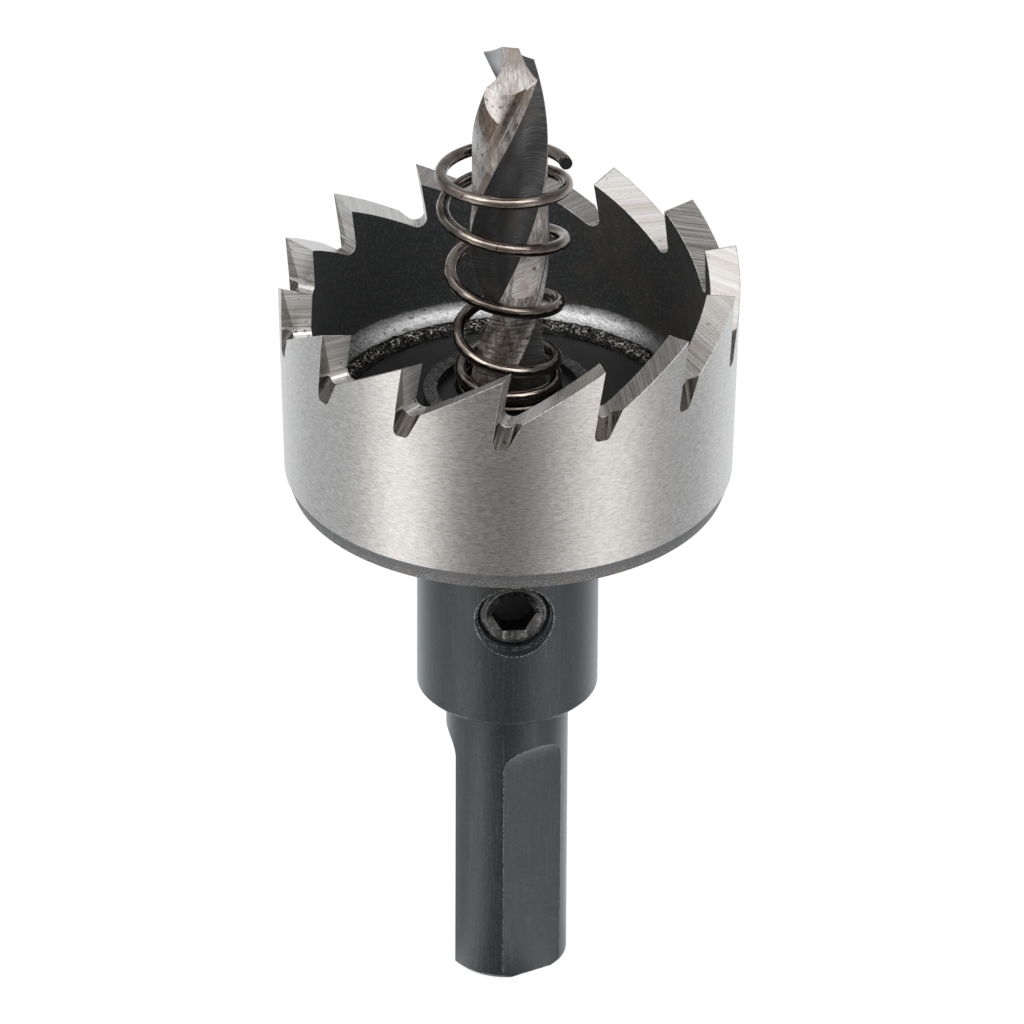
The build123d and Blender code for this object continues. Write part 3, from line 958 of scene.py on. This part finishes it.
screw = {
    "height": 36, "tip": 3.195, "end": 6.37, "radius": 2.95, "thread": 0.26, "pitch": 0.5,
    "rim": 2.34, "acrossFlats": 3.2, "socketDepth": 1.6, "socketCone": 0.2, "cone": 0.46, "sides": 72,
    "socketTurn": 30, "foot": 0.5, "threadEnd": 0.75, "sharp": 28, "wallUp": 0.3,
    # a turn of the thread, and the last one: share of the thread's depth, and rise in mm
    "turn": [(0, 0), (0, 0.08), (1, 0.29)], "lastTurn": [(0, 0), (0, 0.06), (1, 0.26)],
    # the rounded end: distance in from the radius or out from the rim, and depth below the end
    "shoulder": [(0.06, 0.36), (0.14, 0.2)], "lip": [(0.24, 0.05), (0.1, 0), (0, 0.02), (-0.1, 0.09)],
}


def screwOutline():
    radius, end = screw["radius"], screw["end"]
    points = [(radius - screw["foot"], screw["tip"])]
    height = screw["tip"] + screw["foot"]
    while height < end - screw["threadEnd"]:
        points += [(radius - share * screw["thread"], height + rise) for share, rise in screw["turn"]]
        height += screw["pitch"]
    points += [(radius - share * screw["thread"], height + rise) for share, rise in screw["lastTurn"]]
    points += [(radius - inward, end - depth) for inward, depth in screw["shoulder"]]
    return points + [(screw["rim"] + outward, end - depth) for outward, depth in screw["lip"]]


def buildScrew():
    # made upright with the socket's end at the top, then laid towards -Y
    bm = bmesh.new()
    outline = [bm.verts.new((reach * mm, 0, height * mm)) for reach, height in screwOutline()]
    for first, second in zip(outline, outline[1:]):
        bm.edges.new((first, second))
    spinRound(bm, screw["sides"])
    ends = [edge for edge in bm.edges if edge.is_boundary]
    foot = [edge for edge in ends if edge.verts[0].co.z < (screw["tip"] + 0.01) * mm]
    rim = [edge for edge in ends if edge not in foot]
    bmesh.ops.contextual_create(bm, geom=foot)
    corner = screw["acrossFlats"] / 2 / math.cos(math.pi / 6)
    made = bmesh.ops.create_circle(bm, cap_ends=False, segments=6, radius=corner * mm)
    socketTurn = Matrix.Rotation(math.radians(screw["socketTurn"]), 3, "Z")
    bmesh.ops.rotate(bm, verts=made["verts"], cent=(0, 0, 0), matrix=socketTurn)
    bmesh.ops.translate(bm, verts=made["verts"], vec=(0, 0, (screw["end"] - screw["cone"]) * mm))
    sides = list({edge for vert in made["verts"] for edge in vert.link_edges})
    bmesh.ops.subdivide_edges(bm, edges=sides, cuts=screw["sides"] // 6 - 1)
    hexagon = [edge for edge in bm.edges if not edge.link_faces]
    bmesh.ops.bridge_loops(bm, edges=rim + hexagon)
    down = bmesh.ops.extrude_edge_only(bm, edges=hexagon)
    lower = [item for item in down["geom"] if isinstance(item, bmesh.types.BMVert)]
    bmesh.ops.translate(bm, verts=lower, vec=(0, 0, -screw["socketDepth"] * mm))
    lowerEdges = [item for item in down["geom"] if isinstance(item, bmesh.types.BMEdge) and item.is_boundary]
    floor = bmesh.ops.contextual_create(bm, geom=lowerEdges)["faces"]
    beside = [face for edge in hexagon for face in edge.link_faces]
    # the socket's walls and floor get the near-black finish: painted shade in the socket
    for face in [face for face in beside if abs(face.normal.z) < screw["wallUp"]] + floor:
        face.material_index = 1
    cone = bmesh.ops.poke(bm, faces=floor)["verts"]
    bmesh.ops.translate(bm, verts=cone, vec=(0, 0, -screw["socketCone"] * mm))
    bmesh.ops.recalc_face_normals(bm, faces=bm.faces)
    for face in bm.faces:
        face.smooth = True
    for edge in bm.edges:
        edge.smooth = len(edge.link_faces) == 2 and edge.calc_face_angle() < math.radians(screw["sharp"])
    laid = Matrix.Translation((0, 0, screw["height"] * mm)) @ Matrix.Rotation(math.radians(90), 4, "X")
    bmesh.ops.transform(bm, verts=bm.verts, matrix=laid)
    addPiece("socketScrew", bm, screwFinishes, "set_screw")


buildScrew()
print("set screw built")


camera = {
    "focal": 11460.3, "elevation": 30.408, "distance": 929.8, "aim": 47,
    "centreX": 508.327, "centreY": 459.963, "roll": 0.288, "sensor": 36, "picture": 1024,
}


def buildCamera():
    data = bpy.data.cameras.new("photoCamera")
    picture = camera["picture"]
    data.sensor_width = camera["sensor"]
    data.lens = camera["focal"] * camera["sensor"] / picture
    data.shift_x = (picture / 2 - camera["centreX"]) / picture
    data.shift_y = (camera["centreY"] - picture / 2) / picture
    data.clip_start = 0.01
    data.clip_end = 20
    rise = math.radians(camera["elevation"])
    turned = Matrix.Rotation(math.radians(photoTurn), 3, "Z")
    ahead = turned @ Vector((0, math.cos(rise), -math.sin(rise)))
    up = turned @ Vector((0, math.sin(rise), math.cos(rise)))
    right = turned @ Vector((1, 0, 0))
    roll = math.radians(camera["roll"])
    across = math.cos(roll) * right + math.sin(roll) * up
    upward = -math.sin(roll) * right + math.cos(roll) * up
    place = Vector((0, 0, camera["aim"])) * mm - ahead * camera["distance"] * mm
    made = show("photoCamera", data)
    basis = Matrix((across, upward, -ahead)).transposed().to_4x4()
    made.matrix_world = Matrix.Translation(place) @ basis
    bpy.context.scene.camera = made


studio = {
    # soft boxes and dark gaps round the saw, as its shiny parts show them:
    # azimuth from straight in front to the right, in degrees, and brightness
    "low": [
        (-180, 0.95), (-150, 0.85), (-128, 0.7), (-112, 0.52), (-96, 0.5), (-86, 0.48), (-76, 0.54),
        (-66, 0.86), (-57, 1.22), (-48, 1.18), (-39, 0.9), (-31, 0.48), (-22, 0.27), (-12, 0.18),
        (2, 0.16), (11, 0.22), (20, 0.38), (29, 0.6), (37, 0.86), (45, 1.04), (54, 1),
        (63, 0.77), (72, 0.5), (82, 0.42), (96, 0.45), (108, 0.52), (122, 0.76), (150, 0.9),
        (180, 0.95)],
    "high": [
        (-180, 0.5), (-155, 0.45), (-138, 0.28), (-115, 0.4), (-90, 0.55), (-60, 0.6), (-30, 0.4),
        (0, 0.3), (30, 0.4), (60, 0.5), (90, 0.3), (112, 0.22), (128, 0.3), (150, 0.35),
        (165, 0.45), (180, 0.5)],
    # soft windows, and one dark gap overhead: azimuth, elevation, radius and brightness
    "windows": [(-98, 66, 11, 1.75), (106, 61, 10, 1.5), (48, 85, 13, 0.1), (-122, 46, 12, 1.15),
                (-34, 52, 17, 1.6), (0, 54, 17, 2), (34, 52, 17, 1.6)],
    "windowEdge": (1.3, 0.75), "warmth": 0.02, "warmWithin": 75,
    "room": 0.62, "floorSeen": 0.9, "floorGlow": 0.4, "floorPaint": 0.16, "floorShiny": 0.02,
    "floorRadius": 4, "floorDrop": 0.01,
}


def shinyRays(tree):
    ray = addNode(tree, "LightPath").outputs
    return ray, mathOf("MAXIMUM", ray["Is Glossy Ray"], ray["Is Transmission Ray"])


def bandRamp(tree, share, bands):
    ramp = addNode(tree, "ValToRGB")
    feed(share, ramp, 0)
    marks = ramp.color_ramp
    marks.interpolation = "EASE"
    marks.elements[1].position = 1
    for azimuth, bright in bands[1:-1]:
        marks.elements.new((azimuth + 180) / 360)
    for element, (azimuth, bright) in zip(marks.elements, bands):
        tint = studio["warmth"] if abs(azimuth) < studio["warmWithin"] else -studio["warmth"]
        element.color = (bright / 2 * (1 + tint), bright / 2, bright / 2 * (1 - tint), 1)
    return ramp.outputs[0]


def makeRoomBands():
    # How bright the room is in each direction, for reflections only
    tree, given, result = newGroup("roomBands", {"Direction": "Vector"}, {"Light": "Color"})
    faced = addNode(tree, "VectorRotate", rotation_type="Z_AXIS")
    feed(given["Direction"], faced, "Vector")
    feed(math.radians(-photoTurn), faced, "Angle")
    normal = addNode(tree, "VectorMath", operation="NORMALIZE")
    feed(faced.outputs[0], normal, 0)
    parts = addNode(tree, "SeparateXYZ")
    feed(normal.outputs[0], parts, 0)
    turn = mathOf("ARCTAN2", parts.outputs[0], mathOf("MULTIPLY", parts.outputs[1], -1))
    share = remap(turn, -math.pi, math.pi, smooth=False)
    low = bandRamp(tree, share, studio["low"])
    high = bandRamp(tree, share, studio["high"])
    up = parts.outputs[2]
    light = mix(remap(up, 0, 0.2), low, high)
    for azimuth, elevation, radius, bright in studio["windows"]:
        near = vectorOf("DOT_PRODUCT", normal.outputs[0], skyward(azimuth, elevation))
        edge = [math.cos(math.radians(radius * share)) for share in studio["windowEdge"]]
        light = mix(remap(near, *edge), light, grey(bright / 2, 0.01))
    feed(mix(1, light, (2, 2, 2, 1), "MULTIPLY"), result, "Light")
    return tree


def buildWorld(roomBands):
    world = bpy.data.worlds.new("studio")
    bpy.context.scene.world = world
    world.use_nodes = True
    tree = world.node_tree
    plain = tree.nodes["Background"]
    plain.inputs["Color"].default_value = (1, 1, 1, 1)
    plain.inputs["Strength"].default_value = studio["room"]
    seen = addNode(tree, "Background")
    bands = useGroup(tree, roomBands, Direction=addNode(tree, "TexCoord").outputs["Generated"])
    ray, shiny = shinyRays(tree)
    feed(mix(shiny, (1, 1, 1, 1), bands["Light"]), seen, "Color")
    pick = addNode(tree, "MixShader")
    feed(mathOf("MAXIMUM", ray["Is Camera Ray"], shiny), pick, 0)
    tree.links.new(plain.outputs[0], pick.inputs[1])
    tree.links.new(seen.outputs[0], pick.inputs[2])
    tree.links.new(pick.outputs[0], tree.nodes["World Output"].inputs[0])


def buildFloor(roomBands):
    bm = bmesh.new()
    bmesh.ops.create_circle(bm, cap_ends=True, segments=96, radius=studio["floorRadius"])
    bmesh.ops.translate(bm, verts=bm.verts, vec=(0, 0, -studio["floorDrop"] * mm))
    made = bpy.data.materials.new("floorPaint")
    made.use_nodes = True
    tree = made.node_tree
    tree.nodes.remove(tree.nodes["Principled BSDF"])
    ray, shiny = shinyRays(tree)
    paint = addNode(tree, "BsdfDiffuse")
    feed(mix(shiny, grey(studio["floorPaint"]), grey(studio["floorShiny"])), paint, "Color")
    bands = useGroup(tree, roomBands, Direction=addNode(tree, "TexCoord").outputs["Object"])
    glow = addNode(tree, "Emission")
    plain = mathOf("ADD", product(ray["Is Camera Ray"], studio["floorSeen"]),
                   product(ray["Is Diffuse Ray"], studio["floorGlow"]))
    feed(mix(shiny, evenly(plain), bands["Light"]), glow, "Color")
    both = addNode(tree, "AddShader")
    tree.links.new(paint.outputs[0], both.inputs[0])
    tree.links.new(glow.outputs[0], both.inputs[1])
    tree.links.new(both.outputs[0], tree.nodes["Material Output"].inputs[0])
    floor = objectFrom("floor", bm, [made])


lamps = {
    # azimuth, elevation and power of each, and what they share, in metres
    "each": {"softLeft": (-55, 45, 1.4), "softRight": (50, 50, 1.2)},
    "distance": 0.7, "size": 0.4, "aim": 0.06,
}


def addLamp(name, azimuth, elevation, power):
    data = bpy.data.lights.new(name, "AREA")
    data.shape = "RECTANGLE"
    data.size = data.size_y = lamps["size"]
    data.energy = power
    lamp = show(name, data)
    aside = skyward(azimuth + photoTurn, elevation)
    lamp.location = Vector((0, 0, lamps["aim"])) + aside * lamps["distance"]
    lamp.rotation_euler = aside.to_track_quat("Z", "Y").to_euler()


buildCamera()
roomBands = makeRoomBands()
buildWorld(roomBands)
buildFloor(roomBands)
for name, settings in lamps["each"].items():
    addLamp(name, *settings)
bpy.context.scene.view_settings.view_transform = "Standard"
print("camera, light and floor set")
